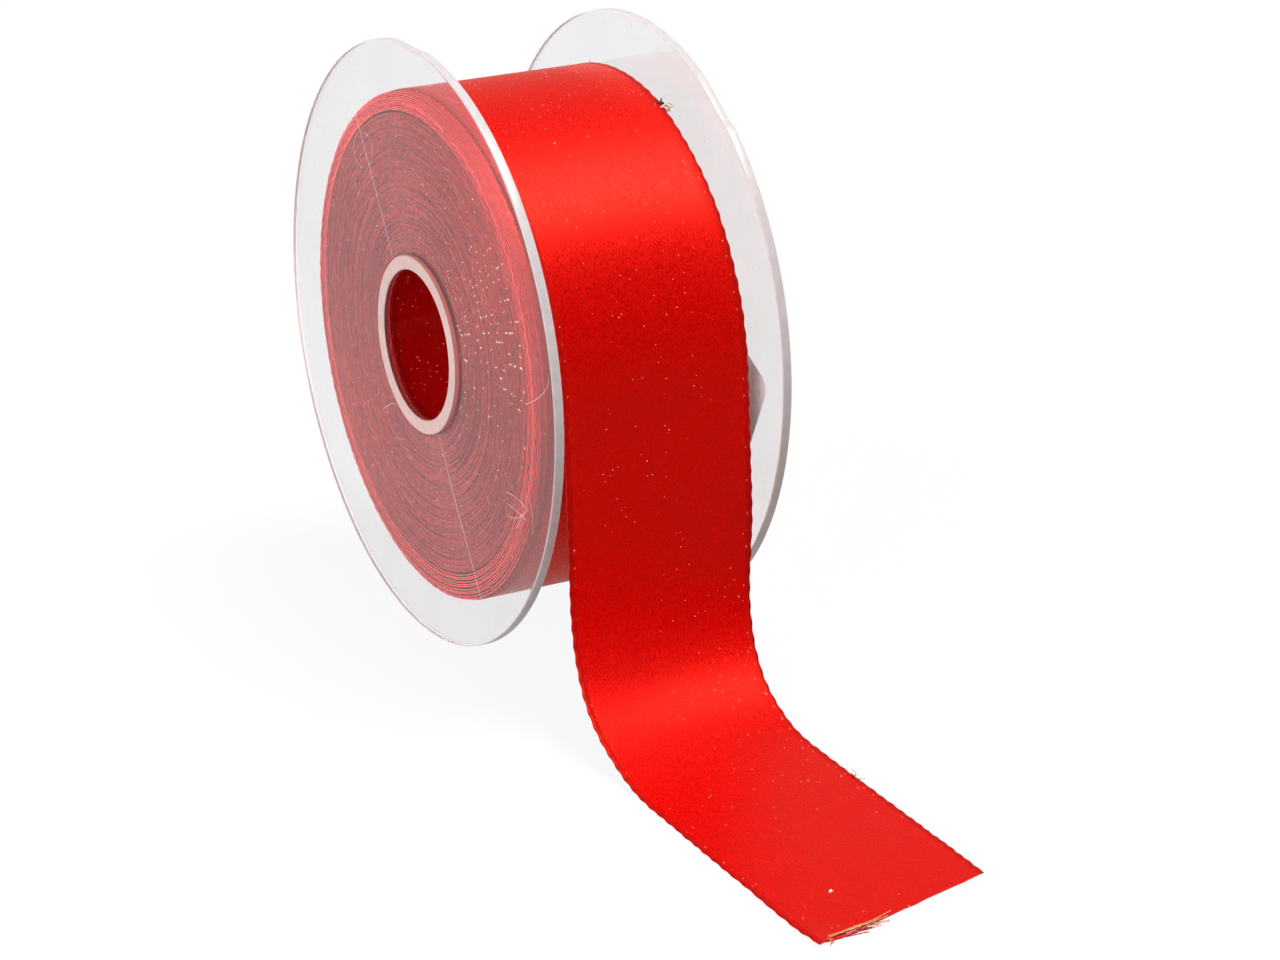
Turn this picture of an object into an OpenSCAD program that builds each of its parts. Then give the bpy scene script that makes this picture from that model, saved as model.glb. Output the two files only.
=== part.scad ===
// Spool of satin ribbon: two clear discs on a core tube, with the ribbon wound between them.
// Origin: centre of the bore. +Y runs along the bore from the near disc to the far disc, +Z is up,
// and +X is the side on which the free end of the ribbon hangs down to the table.

/* [Discs] */
// Diameter of each disc
disc_d = 123; // [110:1:160]
// Thickness of each disc
disc_t = 2; // [1.2:0.1:3]
// Bevel on both edges of a disc's rim
rim_bevel = 0.3; // [0.1:0.05:0.5]
// Depth of the flat left on the rim where the moulding gate was trimmed
gate_flat = 0.5; // [0.2:0.1:1]
// Angle of that flat round the near disc
near_gate_angle = 91; // [0:1:359]
// Angle of that flat round the far disc
far_gate_angle = 57; // [0:1:359]

/* [Core] */
// Diameter of the bore
bore_d = 30.7; // [20:0.1:38]
// Wall of the core tube
tube_wall = 2.95; // [1.5:0.05:4]
// Clear width between the two discs
winding_w = 47.4; // [46:0.1:80]
// Bevel on the four edges at the ends of the core tube
tube_bevel = 0.2; // [0.1:0.05:0.4]
// Play between the core tube and the hole of each disc, which are glued together
hub_play = 0; // [0:0.01:0.05]

/* [Ribbon] */
// Width of the ribbon
ribbon_w = 40; // [10:1:42]
// Thickness of the ribbon
ribbon_t = 0.28; // [0.2:0.01:0.4]
// Outer diameter of the whole roll
roll_d = 105; // [80:0.5:108]
// Depth of the loose outer turns
loose_depth = 5.6; // [1:0.1:10]
// Play between the tight turns and the loose ones
turn_play = 0.3; // [0.2:0.05:0.6]
// Gap between the near disc and the edge of the tight turns
side_gap = 0.7; // [0.1:0.05:1]
// Gap between the near disc and the edge of the innermost loose turn
loose_side_gap = 0.7; // [0.3:0.05:1.5]
// How far the outermost turn has wandered towards the far disc
wander = 3.5; // [0:0.1:5]

/* [Start of the ribbon] */
// Thickness of the tape that holds the first end of the ribbon
tape_t = 0.12; // [0.05:0.01:0.2]
// Width of the tape along the core tube
tape_w = 24; // [10:1:30]
// Angle that the tape covers round the core tube
tape_angle = 40; // [20:1:90]

/* [Free end] */
// Outward lean of the hanging stretch, in degrees
lean = 4.5; // [0:0.1:6]
// Radius of the bend above the table
bend_r = 36; // [12:0.5:40]
// Reach of the far corner of the cut end from the axis of the spool
cut_reach = 147; // [110:1:240]
// Extra reach of the near corner, which makes the cut slanted
cut_slant = 9.9; // [0:0.1:20]
// How much further than the outermost turn the hanging stretch has wandered
hang_wander = 0; // [0:0.1:2]
// Sideways drift of the stretch on the table, back towards the near disc
table_drift = 4.4; // [0:0.1:15]
// Height above the table at which the sideways drift begins
drift_height = 38; // [5:1:40]
// Distance along the table in which the sideways drift ends
drift_run = 10; // [5:1:40]

/* [Label] */
// Width of the label
label_w = 30; // [12:1:32]
// Length of the label
label_l = 40; // [20:1:44]
// Thickness of the label
label_t = 0.12; // [0.08:0.01:0.2]
// Radius of the label's corners
label_corner_r = 3; // [1:0.5:5]
// Angle below +X of the line from the axis that meets the label's long side squarely
label_angle = 25; // [0:1:359]
// Gap between the core tube and the label's long side
label_gap = 0.6; // [0.3:0.1:3]
// How far the label's middle lies above that line
label_shift = 3; // [0:0.5:10]

/* [Hidden] */
$fn = 128;

disc_r = disc_d / 2;
half_gap = winding_w / 2;
half_w = half_gap + disc_t;
tube_r = bore_d / 2 + tube_wall;
roll_r = roll_d / 2;
tail_r = roll_r - ribbon_t;
loose_r = roll_r - loose_depth;
tight_r = loose_r - turn_play;
tight_y = -half_gap + side_gap + ribbon_w / 2;
loose_y = -half_gap + loose_side_gap + ribbon_w / 2;
last_y = tight_y + wander;
hang_y = last_y + hang_wander;
table_y = hang_y - table_drift;

clear_grey = [0.90, 0.90, 0.91, 0.35];
satin_red = [0.80, 0.02, 0.04];
paper_white = [0.93, 0.92, 0.91];
cut_size = 20;

arc_steps = 24;
bend_steps = 18;
drift_steps = 6;

// Turns a shape drawn with its axis along +Z so that the axis runs along +Y.
// A height z becomes the place y = z, and the drawing's x stays x.
module along_axis() {
    rotate([-90, 0, 0]) children();
}

// One disc: rim bevels, centre hole and the flat where the gate was trimmed.
module disc(gate_angle) {
    hole_r = tube_r + hub_play;
    difference() {
        rotate_extrude()
            polygon([
                [hole_r, 0],
                [disc_r - rim_bevel, 0],
                [disc_r, rim_bevel],
                [disc_r, disc_t - rim_bevel],
                [disc_r - rim_bevel, disc_t],
                [hole_r, disc_t]
            ]);
        rotate([0, 0, -gate_angle])
            translate([disc_r - gate_flat, -cut_size / 2, -1])
                cube([cut_size, cut_size, disc_t + 2]);
    }
}

module near_flange() {
    color(clear_grey) translate([0, -half_w, 0]) along_axis() disc(near_gate_angle);
}

module far_flange() {
    color(clear_grey) translate([0, half_gap, 0]) along_axis() disc(far_gate_angle);
}

// The tube passes through both discs and ends flush with their outer faces.
module core_tube() {
    bore_r = bore_d / 2;
    color(clear_grey)
        along_axis()
            rotate_extrude()
                polygon([
                    [bore_r, -half_w + tube_bevel],
                    [bore_r + tube_bevel, -half_w],
                    [tube_r - tube_bevel, -half_w],
                    [tube_r, -half_w + tube_bevel],
                    [tube_r, half_w - tube_bevel],
                    [tube_r - tube_bevel, half_w],
                    [bore_r + tube_bevel, half_w],
                    [bore_r, half_w - tube_bevel]
                ]);
}

// Curved patch of tape under the first turn.
module start_tape() {
    color("khaki")
        translate([0, tight_y, 0])
            along_axis()
                rotate_extrude(angle = tape_angle)
                    translate([tube_r, -tape_w / 2])
                        square([tape_t, tape_w]);
}

module ribbon_roll() {
    color(satin_red)
        translate([0, tight_y, 0])
            along_axis()
                difference() {
                    cylinder(h = ribbon_w, r = tight_r, center = true);
                    cylinder(h = ribbon_w + 2, r = tube_r + tape_t, center = true);
                }
}

// Loose turns: each lies a little further from the near disc than the one inside it.
module outer_turns() {
    color(satin_red)
        along_axis()
            rotate_extrude()
                polygon([
                    [loose_r, loose_y - ribbon_w / 2],
                    [tail_r, last_y - ribbon_w / 2],
                    [tail_r, last_y + ribbon_w / 2],
                    [loose_r, loose_y + ribbon_w / 2]
                ]);
}

// Route of the free end, seen from the side, as [x, z, heading] of the ribbon's underside.
// Heading 0 runs along +X and -90 runs straight down. The outer face is 90 degrees left of it.
hang_heading = lean - 90;
bend_top_z = -disc_r + bend_r * (1 - sin(lean));
// The flats between the points over the roll touch the turns inside them.
wrap_r = tail_r / cos(hang_heading / arc_steps / 2);
tangent_x = wrap_r * cos(lean);
tangent_z = wrap_r * sin(lean);
bend_top_x = tangent_x + (tangent_z - bend_top_z) * tan(lean);
table_x = bend_top_x + bend_r * cos(lean);
drift_end_x = table_x + drift_run;
drift_span = drift_height + drift_run;

over_roll = [for (i = [0 : arc_steps]) let (q = hang_heading * i / arc_steps)
    [-wrap_r * sin(q), wrap_r * cos(q), q]];
round_bend = [for (i = [0 : bend_steps]) let (q = hang_heading * (1 - i / bend_steps))
    [table_x + bend_r * sin(q), -disc_r + bend_r * (1 - cos(q)), q]];
along_table = [for (i = [1 : drift_steps]) [table_x + drift_run * i / drift_steps, -disc_r, 0]];
route = concat(over_roll, round_bend, along_table);

function smooth(u) = u * u * (3 - 2 * u);
function limit(u) = min(1, max(0, u));
// Distance gone since the drift began: by height in the bend, by reach on the table.
function drifted(p) = max(0, drift_height - (p[1] + disc_r)) + max(0, p[0] - table_x);
function place_y(p, i) = i <= arc_steps
    ? last_y + (hang_y - last_y) * smooth(i / arc_steps)
    : hang_y + (table_y - hang_y) * smooth(limit(drifted(p) / drift_span));

// The four corners of the ribbon's section at one point of the route.
function section(p, i) = let (
        y = place_y(p, i),
        outer_x = p[0] - ribbon_t * sin(p[2]),
        outer_z = p[1] + ribbon_t * cos(p[2]))
    [[p[0], y - ribbon_w / 2, p[1]], [p[0], y + ribbon_w / 2, p[1]],
     [outer_x, y + ribbon_w / 2, outer_z], [outer_x, y - ribbon_w / 2, outer_z]];

cut_near = [cut_reach + cut_slant, table_y - ribbon_w / 2];
cut_far = [cut_reach, table_y + ribbon_w / 2];
cut_section = [[cut_near[0], cut_near[1], -disc_r], [cut_far[0], cut_far[1], -disc_r],
    [cut_far[0], cut_far[1], -disc_r + ribbon_t], [cut_near[0], cut_near[1], -disc_r + ribbon_t]];

module ribbon_tail() {
    sections = concat([for (i = [0 : len(route) - 1]) section(route[i], i)], [cut_section]);
    last = len(sections) - 1;
    points = [for (s = sections) for (corner = s) corner];
    sides = [for (i = [0 : last - 1]) for (k = [0 : 3])
        [4 * i + k, 4 * i + (k + 1) % 4, 4 * (i + 1) + (k + 1) % 4, 4 * (i + 1) + k]];
    start = [[3, 2, 1, 0]];
    end = [[4 * last, 4 * last + 1, 4 * last + 2, 4 * last + 3]];
    color(satin_red) polyhedron(points = points, faces = concat(sides, start, end));
}

// Flat sticker with round corners, beside the core tube on the far disc's outer face.
module label() {
    r = label_corner_r;
    low_x = tube_r + label_gap;
    low_y = -label_shift - label_l / 2;
    color(paper_white)
        translate([0, half_w, 0])
            along_axis()
                rotate([0, 0, label_angle])
                    translate([low_x, low_y, 0])
                        union() {
                            translate([r, 0, 0]) cube([label_w - 2 * r, label_l, label_t]);
                            translate([0, r, 0]) cube([label_w, label_l - 2 * r, label_t]);
                            for (x = [r, label_w - r])
                                for (y = [r, label_l - r])
                                    translate([x, y, 0]) cylinder(h = label_t, r = r, $fn = 48);
                        }
}

near_flange();
far_flange();
core_tube();
start_tape();
ribbon_roll();
outer_turns();
ribbon_tail();
label();
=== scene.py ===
import math

import bpy
import numpy as np
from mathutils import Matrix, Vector


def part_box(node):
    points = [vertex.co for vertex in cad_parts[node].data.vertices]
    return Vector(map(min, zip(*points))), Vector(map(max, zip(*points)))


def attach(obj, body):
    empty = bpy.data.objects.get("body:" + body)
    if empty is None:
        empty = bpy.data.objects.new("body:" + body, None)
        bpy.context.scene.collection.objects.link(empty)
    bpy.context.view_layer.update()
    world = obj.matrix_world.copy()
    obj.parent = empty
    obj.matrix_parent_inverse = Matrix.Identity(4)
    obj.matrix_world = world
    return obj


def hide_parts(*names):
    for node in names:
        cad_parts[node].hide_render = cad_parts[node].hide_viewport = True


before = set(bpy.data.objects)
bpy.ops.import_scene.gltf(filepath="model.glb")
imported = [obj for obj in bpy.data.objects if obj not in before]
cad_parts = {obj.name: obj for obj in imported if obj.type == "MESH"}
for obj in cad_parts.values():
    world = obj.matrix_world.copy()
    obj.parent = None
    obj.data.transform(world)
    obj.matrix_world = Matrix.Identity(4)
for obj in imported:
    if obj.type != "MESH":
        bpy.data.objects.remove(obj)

# Metres. +Y runs along the bore, +Z is up, +X is where the free end hangs down.
scene = bpy.context.scene
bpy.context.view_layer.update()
mm = 0.001


def nodeRadii(name):
    # smallest and largest distance from the bore's axis
    reach = [math.hypot(v.co.x, v.co.z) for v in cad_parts[name].data.vertices]
    return min(reach), max(reach)


nearLow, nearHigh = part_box("near_flange")
farLow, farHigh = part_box("far_flange")
rollLow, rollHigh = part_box("ribbon_roll")
tailLow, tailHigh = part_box("ribbon_tail")
boreR, tubeR = nodeRadii("core_tube")
discR = -nearLow.z
tapeR = nodeRadii("start_tape")[1]
looseR = nodeRadii("outer_turns")[0]
tableZ = tailLow.z
ribbonW = rollHigh.y - rollLow.y
tightY = (rollLow.y + rollHigh.y) / 2


# Camera

cameraSet = {
    "azimuth": 61.671,
    "elevation": 21.528,
    "distance": 0.7527,
    "right": 0.02241,
    "up": -0.03147,
    "lens": 103.99,
    "sensor": 36.0,
}


def makeCamera(part):
    a, e = math.radians(part["azimuth"]), math.radians(part["elevation"])
    back = Vector((math.sin(a) * math.cos(e), -math.cos(a) * math.cos(e), math.sin(e)))
    right = Vector((math.cos(a), math.sin(a), 0.0))
    up = back.cross(right)
    data = bpy.data.cameras.new("camera")
    data.lens = part["lens"]
    data.sensor_width = part["sensor"]
    data.clip_start, data.clip_end = 0.02, 20.0
    camera = bpy.data.objects.new("camera", data)
    camera.location = back * part["distance"] + right * part["right"] + up * part["up"]
    camera.rotation_mode = "QUATERNION"
    camera.rotation_quaternion = (-back).to_track_quat("-Z", "Y")
    scene.collection.objects.link(camera)
    scene.camera = camera


makeCamera(cameraSet)
print("camera made")


# Shader helpers

def setSockets(node, **values):
    for name, value in values.items():
        node.inputs[name.replace("_", " ")].default_value = value


def addNode(tree, kind, **values):
    made = tree.nodes.new(kind)
    setSockets(made, **values)
    return made


def mathNode(tree, operation, first, second=None, third=None):
    made = tree.nodes.new("ShaderNodeMath")
    made.operation = operation
    for slot, value in enumerate((first, second, third)):
        if value is None:
            continue
        if isinstance(value, (int, float)):
            made.inputs[slot].default_value = value
        else:
            tree.links.new(value, made.inputs[slot])
    return made.outputs["Value"]


def rangeNode(tree, value, low, high, outLow=0.0, outHigh=1.0):
    made = tree.nodes.new("ShaderNodeMapRange")
    made.interpolation_type = "SMOOTHSTEP"
    for name, number in (("From Min", low), ("From Max", high), ("To Min", outLow), ("To Max", outHigh)):
        made.inputs[name].default_value = number
    tree.links.new(value, made.inputs["Value"])
    return made.outputs["Result"]


def mixColour(tree, factor, first, second):
    made = tree.nodes.new("ShaderNodeMix")
    made.data_type = "RGBA"
    tree.links.new(factor, made.inputs[0])
    for slot, colour in ((6, first), (7, second)):
        if isinstance(colour, tuple):
            made.inputs[slot].default_value = (*colour, 1.0)
        else:
            tree.links.new(colour, made.inputs[slot])
    return made.outputs[2]


# Every group takes a vector and some amounts, and gives back amounts
def newGroup(name, amounts, results):
    group = bpy.data.node_groups.new(name, "ShaderNodeTree")
    group.interface.new_socket("Vector", in_out="INPUT", socket_type="NodeSocketVector")
    for socket, value in amounts.items():
        made = group.interface.new_socket(socket, in_out="INPUT", socket_type="NodeSocketFloat")
        made.default_value = value
    for socket in results:
        group.interface.new_socket(socket, in_out="OUTPUT", socket_type="NodeSocketFloat")
    start = group.nodes.new("NodeGroupInput")
    end = group.nodes.new("NodeGroupOutput")
    return group, start, end


def placeGroup(tree, group, vector, **values):
    made = tree.nodes.new("ShaderNodeGroup")
    made.node_tree = group
    tree.links.new(vector, made.inputs["Vector"])
    setSockets(made, **values)
    return made


def newMaterial(name):
    material = bpy.data.materials.new(name)
    material.use_nodes = True
    tree = material.node_tree
    shader = tree.nodes["Principled BSDF"]
    return material, tree, shader


def seenDirectly(tree):
    # 1 for what the camera sees, straight or through clear plastic, and 0 for light on its way
    path = tree.nodes.new("ShaderNodeLightPath")
    return mathNode(tree, "MAXIMUM", path.outputs["Is Camera Ray"], path.outputs["Is Transmission Ray"])


def bumpFrom(tree, shader, height, distance, strength=1.0):
    bump = addNode(tree, "ShaderNodeBump", Strength=strength, Distance=distance)
    tree.links.new(height, bump.inputs["Height"])
    tree.links.new(bump.outputs["Normal"], shader.inputs["Normal"])


# Satin weave: long floats side by side, each row of them shifted by its own amount
def makeWeaveGroup():
    group, start, end = newGroup("satinWeave", {"Thread": 0.0003, "Float": 0.0012}, ("Height", "Tone"))
    link = group.links.new
    apart = group.nodes.new("ShaderNodeSeparateXYZ")
    link(start.outputs["Vector"], apart.inputs[0])
    across = mathNode(group, "DIVIDE", apart.outputs["Y"], start.outputs["Thread"])
    row = mathNode(group, "FLOOR", across)
    inRow = mathNode(group, "FRACT", across)
    ridge = mathNode(group, "SINE", mathNode(group, "MULTIPLY", inRow, math.pi))
    shift = group.nodes.new("ShaderNodeTexWhiteNoise")
    shift.noise_dimensions = "1D"
    link(row, shift.inputs["W"])
    along = mathNode(group, "DIVIDE", apart.outputs["X"], start.outputs["Float"])
    along = mathNode(group, "ADD", along, shift.outputs["Value"])
    cell = mathNode(group, "FLOOR", along)
    inCell = mathNode(group, "FRACT", along)
    fromMiddle = mathNode(group, "ABSOLUTE", mathNode(group, "MULTIPLY_ADD", inCell, 2.0, -1.0))
    gap = mathNode(group, "POWER", fromMiddle, 6.0)
    height = mathNode(group, "MULTIPLY", ridge, mathNode(group, "SUBTRACT", 1.0, gap))
    place = group.nodes.new("ShaderNodeCombineXYZ")
    link(cell, place.inputs["X"])
    link(row, place.inputs["Y"])
    tone = group.nodes.new("ShaderNodeTexWhiteNoise")
    tone.noise_dimensions = "3D"
    link(place.outputs[0], tone.inputs["Vector"])
    link(height, end.inputs["Height"])
    link(tone.outputs["Value"], end.inputs["Tone"])
    return group


# Soft mottling at one scale, and a mask of small sharp flecks at another
def makeMottleGroup():
    amounts = {"Cloud Scale": 100.0, "Fleck Scale": 900.0, "Fleck Size": 0.16}
    group, start, end = newGroup("mottle", amounts, ("Cloud", "Fleck"))
    link = group.links.new
    cloud = addNode(group, "ShaderNodeTexNoise", Detail=4.0, Roughness=0.6)
    link(start.outputs["Vector"], cloud.inputs["Vector"])
    link(start.outputs["Cloud Scale"], cloud.inputs["Scale"])
    fleck = group.nodes.new("ShaderNodeTexVoronoi")
    link(start.outputs["Vector"], fleck.inputs["Vector"])
    link(start.outputs["Fleck Scale"], fleck.inputs["Scale"])
    near = mathNode(group, "LESS_THAN", fleck.outputs["Distance"], start.outputs["Fleck Size"])
    apart = group.nodes.new("ShaderNodeSeparateColor")
    link(fleck.outputs["Color"], apart.inputs[0])
    chosen = mathNode(group, "GREATER_THAN", apart.outputs[0], 0.8)
    link(cloud.outputs["Fac"], end.inputs["Cloud"])
    link(mathNode(group, "MULTIPLY", near, chosen), end.inputs["Fleck"])
    return group


weaveGroup = makeWeaveGroup()
mottleGroup = makeMottleGroup()


def objectMottle(tree, cloudScale, fleckScale, fleckSize):
    place = tree.nodes.new("ShaderNodeTexCoord")
    return placeGroup(tree, mottleGroup, place.outputs["Object"], Cloud_Scale=cloudScale,
                      Fleck_Scale=fleckScale, Fleck_Size=fleckSize)


satinSet = {
    "face": (0.56, 0.0006, 0.0008),
    "shade": (0.49, 0.0004, 0.0006),
    "selvedge": (0.40, 0.0006, 0.0009),
    "notch": (0.30, 0.0004, 0.0004),
    "paintedGlint": (0.80, 0.26, 0.10),
    "thread": 0.21 * mm,
    "float": 0.42 * mm,
    "cloudScale": 170.0,
    "cloudShare": 0.4,
    "toneRange": (0.15, 0.8),
    "bandWidth": 1.15 * mm,
    "notchDepth": 0.5 * mm,
    "notchFrom": 0.38,
    "dashUpTo": 0.08,
    "dashWidth": 0.14 * mm,
    "dashPitch": 3.4 * mm,
    "metallic": 0.30,
    "ior": 1.22,
    "sheenTint": (1.0, 0.74, 0.36, 1.0),
    "roughness": 0.22,
    "roughSpread": 0.20,
    "edgeRoughness": 0.15,
    "bump": 0.04 * mm,
}


def makeSatin(part):
    material, tree, shader = newMaterial("satin")
    place = tree.nodes.new("ShaderNodeUVMap")
    place.uv_map = "ribbon"
    vector = place.outputs["UV"]
    weave = placeGroup(tree, weaveGroup, vector, Thread=part["thread"], Float=part["float"])
    mottle = placeGroup(tree, mottleGroup, vector, Cloud_Scale=part["cloudScale"])
    tone = mathNode(tree, "MULTIPLY", weave.outputs["Tone"], 1 - part["cloudShare"])
    tone = mathNode(tree, "MULTIPLY_ADD", mottle.outputs["Cloud"], part["cloudShare"], tone)
    face = mixColour(tree, rangeNode(tree, tone, *part["toneRange"]), part["shade"], part["face"])
    # woven edge: a darker band with dark notches, and at every scallop a pale stitch, painted glints of the
    # edge thread
    apart = tree.nodes.new("ShaderNodeSeparateXYZ")
    tree.links.new(vector, apart.inputs[0])
    other = mathNode(tree, "SUBTRACT", ribbonW, apart.outputs["Y"])
    inset = mathNode(tree, "MINIMUM", apart.outputs["Y"], other)
    band = rangeNode(tree, inset, part["bandWidth"] * 0.85, part["bandWidth"], 1.0, 0.0)
    stitch = mathNode(tree, "FRACT", mathNode(tree, "DIVIDE", apart.outputs["X"], part["dashPitch"]))
    middle = mathNode(tree, "ABSOLUTE", mathNode(tree, "SUBTRACT", stitch, 0.5))
    colour = mixColour(tree, band, face, part["selvedge"])
    notch = mathNode(tree, "MULTIPLY", mathNode(tree, "GREATER_THAN", middle, part["notchFrom"]),
                     mathNode(tree, "LESS_THAN", inset, part["notchDepth"]))
    colour = mixColour(tree, notch, colour, part["notch"])
    bandLine = mathNode(tree, "ABSOLUTE", mathNode(tree, "SUBTRACT", inset, part["bandWidth"] * 0.8))
    # painted glints: pale orange dashes on the stitches, only where the weave is lightest
    paintedGlint = mathNode(tree, "MULTIPLY", mathNode(tree, "LESS_THAN", middle, part["dashUpTo"]),
                    mathNode(tree, "LESS_THAN", bandLine, part["dashWidth"]))
    lit = mathNode(tree, "GREATER_THAN", weave.outputs["Tone"], 0.8)
    colour = mixColour(tree, mathNode(tree, "MULTIPLY", paintedGlint, lit), colour, part["paintedGlint"])
    tree.links.new(colour, shader.inputs["Base Color"])
    rough = mathNode(tree, "MULTIPLY_ADD", weave.outputs["Tone"], part["roughSpread"], part["roughness"])
    rough = mathNode(tree, "MULTIPLY_ADD", band, part["edgeRoughness"], rough)
    tree.links.new(rough, shader.inputs["Roughness"])
    setSockets(shader, Metallic=part["metallic"], IOR=part["ior"], Anisotropic=0.55,
               Specular_Tint=part["sheenTint"])
    tangent = tree.nodes.new("ShaderNodeTangent")
    tangent.direction_type = "UV_MAP"
    tangent.uv_map = "ribbon"
    tree.links.new(tangent.outputs[0], shader.inputs["Tangent"])
    bumpFrom(tree, shader, weave.outputs["Height"], part["bump"], 0.30)
    return material


sideSet = {
    "metallic": 0.86,
    "dark": (0.40, 0.003, 0.005),
    "face": (0.76, 0.006, 0.010),
    "pale": (0.90, 0.20, 0.16),
    "ring": 1.1 * mm,
    "fineRing": 0.60 * mm,
    "arc": 2.2,
    "fineArc": 15.0,
    "coarseShare": 0.65,
    "bodyRange": (0.28, 0.68),
    "paleRange": (0.62, 0.72),
    "paleShare": 0.40,
    "bump": 0.05 * mm,
}

# painted light: the loose turns stand nearer the disc and catch more light, so their edges and the free
# end's get a brighter copy of the side colours
paintedLitSideSet = dict(sideSet, metallic=0.35, dark=(0.76, 0.014, 0.016), face=(0.97, 0.050, 0.050))


# The stacked woven edges on the side of a roll: broken rings, and a sheen across the threads
def makeSatinSide(name, part):
    material, tree, shader = newMaterial(name)
    place = tree.nodes.new("ShaderNodeTexCoord")
    apart = tree.nodes.new("ShaderNodeSeparateXYZ")
    tree.links.new(place.outputs["Object"], apart.inputs[0])
    x, z = apart.outputs["X"], apart.outputs["Z"]
    squares = mathNode(tree, "ADD", mathNode(tree, "MULTIPLY", x, x), mathNode(tree, "MULTIPLY", z, z))
    radius = mathNode(tree, "SQRT", squares)
    tones = []
    for ring, arc, detail in ((part["ring"], part["arc"], 3.0), (part["fineRing"], part["fineArc"], 1.0)):
        spot = tree.nodes.new("ShaderNodeCombineXYZ")
        tree.links.new(mathNode(tree, "DIVIDE", radius, ring), spot.inputs["X"])
        for axis, value in (("Y", x), ("Z", z)):
            around = mathNode(tree, "MULTIPLY", mathNode(tree, "DIVIDE", value, radius), arc)
            tree.links.new(around, spot.inputs[axis])
        noise = addNode(tree, "ShaderNodeTexNoise", Scale=1.0, Detail=detail, Roughness=0.6)
        tree.links.new(spot.outputs[0], noise.inputs["Vector"])
        tones.append(noise.outputs["Fac"])
    fine = mathNode(tree, "MULTIPLY", tones[1], 1 - part["coarseShare"])
    body = mathNode(tree, "MULTIPLY_ADD", tones[0], part["coarseShare"], fine)
    # the darker rings are partly the edges' own tone and partly painted shade between the turns
    colour = mixColour(tree, rangeNode(tree, body, *part["bodyRange"]), part["dark"], part["face"])
    dashes = rangeNode(tree, tones[1], *part["paleRange"])
    dashes = mathNode(tree, "MULTIPLY", dashes, part["paleShare"])
    colour = mixColour(tree, dashes, colour, part["pale"])
    tree.links.new(colour, shader.inputs["Base Color"])
    tree.links.new(rangeNode(tree, tones[1], 0.3, 0.7, 0.24, 0.36), shader.inputs["Roughness"])
    setSockets(shader, Metallic=part["metallic"], IOR=1.2, Anisotropic=0.85, Anisotropic_Rotation=0.25)
    tangent = tree.nodes.new("ShaderNodeTangent")
    tangent.direction_type = "RADIAL"
    tangent.axis = "Y"
    tree.links.new(tangent.outputs[0], shader.inputs["Tangent"])
    bumpFrom(tree, shader, tones[1], part["bump"], 0.22)
    return material


def letLampsThrough(tree, shader):
    # shadow rays pass straight through, so lamps light what lies behind the plastic
    clear = addNode(tree, "ShaderNodeBsdfTransparent", Color=(0.93, 0.92, 0.925, 1.0))
    path = tree.nodes.new("ShaderNodeLightPath")
    mix = tree.nodes.new("ShaderNodeMixShader")
    tree.links.new(path.outputs["Is Shadow Ray"], mix.inputs["Fac"])
    tree.links.new(shader.outputs["BSDF"], mix.inputs[1])
    tree.links.new(clear.outputs["BSDF"], mix.inputs[2])
    tree.links.new(mix.outputs[0], tree.nodes["Material Output"].inputs["Surface"])


plasticSet = {"ior": 1.34, "cloudLight": 1.06, "dust": 0.3, "bump": 0.02 * mm}


def makeClearPlastic(name, colour, roughLow, roughHigh, part):
    material, tree, shader = newMaterial(name)
    mottle = objectMottle(tree, 60.0, 420.0, 0.10)
    rough = rangeNode(tree, mottle.outputs["Cloud"], 0.35, 0.75, roughLow, roughHigh)
    dusty = mathNode(tree, "MULTIPLY_ADD", mottle.outputs["Fleck"], part["dust"], rough)
    tree.links.new(dusty, shader.inputs["Roughness"])
    tint = rangeNode(tree, mottle.outputs["Cloud"], 0.3, 0.7)
    light = tuple(c * part["cloudLight"] for c in colour)
    tree.links.new(mixColour(tree, tint, colour, light), shader.inputs["Base Color"])
    setSockets(shader, IOR=part["ior"], Transmission_Weight=1.0)
    bumpFrom(tree, shader, mottle.outputs["Cloud"], part["bump"], 0.6)
    letLampsThrough(tree, shader)
    return material


# Where the ribbon sits tight against the sleeve there is no surface to see
def makeSeam(name):
    material, tree, shader = newMaterial(name)
    setSockets(shader, Base_Color=(1.0, 1.0, 1.0, 1.0), Roughness=0.0, IOR=1.0, Transmission_Weight=1.0)
    letLampsThrough(tree, shader)
    return material


# Two tones in soft patches, with flecks or without, and a little relief
def makeMottled(name, shade, colour, grain, relief, fleckShare=0.0, **sockets):
    material, tree, shader = newMaterial(name)
    mottle = objectMottle(tree, *grain)
    tone = rangeNode(tree, mottle.outputs["Cloud"], 0.3, 0.7)
    base = mixColour(tree, tone, shade, colour)
    if fleckShare:
        fleck = mathNode(tree, "MULTIPLY", mottle.outputs["Fleck"], fleckShare)
        base = mixColour(tree, fleck, base, shade)
    tree.links.new(base, shader.inputs["Base Color"])
    setSockets(shader, **sockets)
    bumpFrom(tree, shader, mottle.outputs["Cloud"], *relief)
    return material


def makeFrosted(name, colour, transmission, rough):
    dark = tuple(c * 0.9 for c in colour)
    return makeMottled(name, dark, colour, (500.0, 2500.0, 0.2), (0.04 * mm, 0.5), Roughness=rough,
                       IOR=1.40, Transmission_Weight=transmission)


# Paper or film, thin enough for light to come through
def makePaper(name, colour, shade, rough, grain):
    return makeMottled(name, shade, colour, (grain, 1500.0, 0.14), (0.03 * mm, 0.6), 0.25, Roughness=rough,
                       Subsurface_Weight=0.6, Subsurface_Radius=(1.0, 1.0, 1.0), Subsurface_Scale=0.6 * mm)


def makeThread(name, colour, shade, rough):
    return makeMottled(name, shade, colour, (1800.0, 6000.0, 0.2), (0.02 * mm, 0.5), Roughness=rough)


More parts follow.
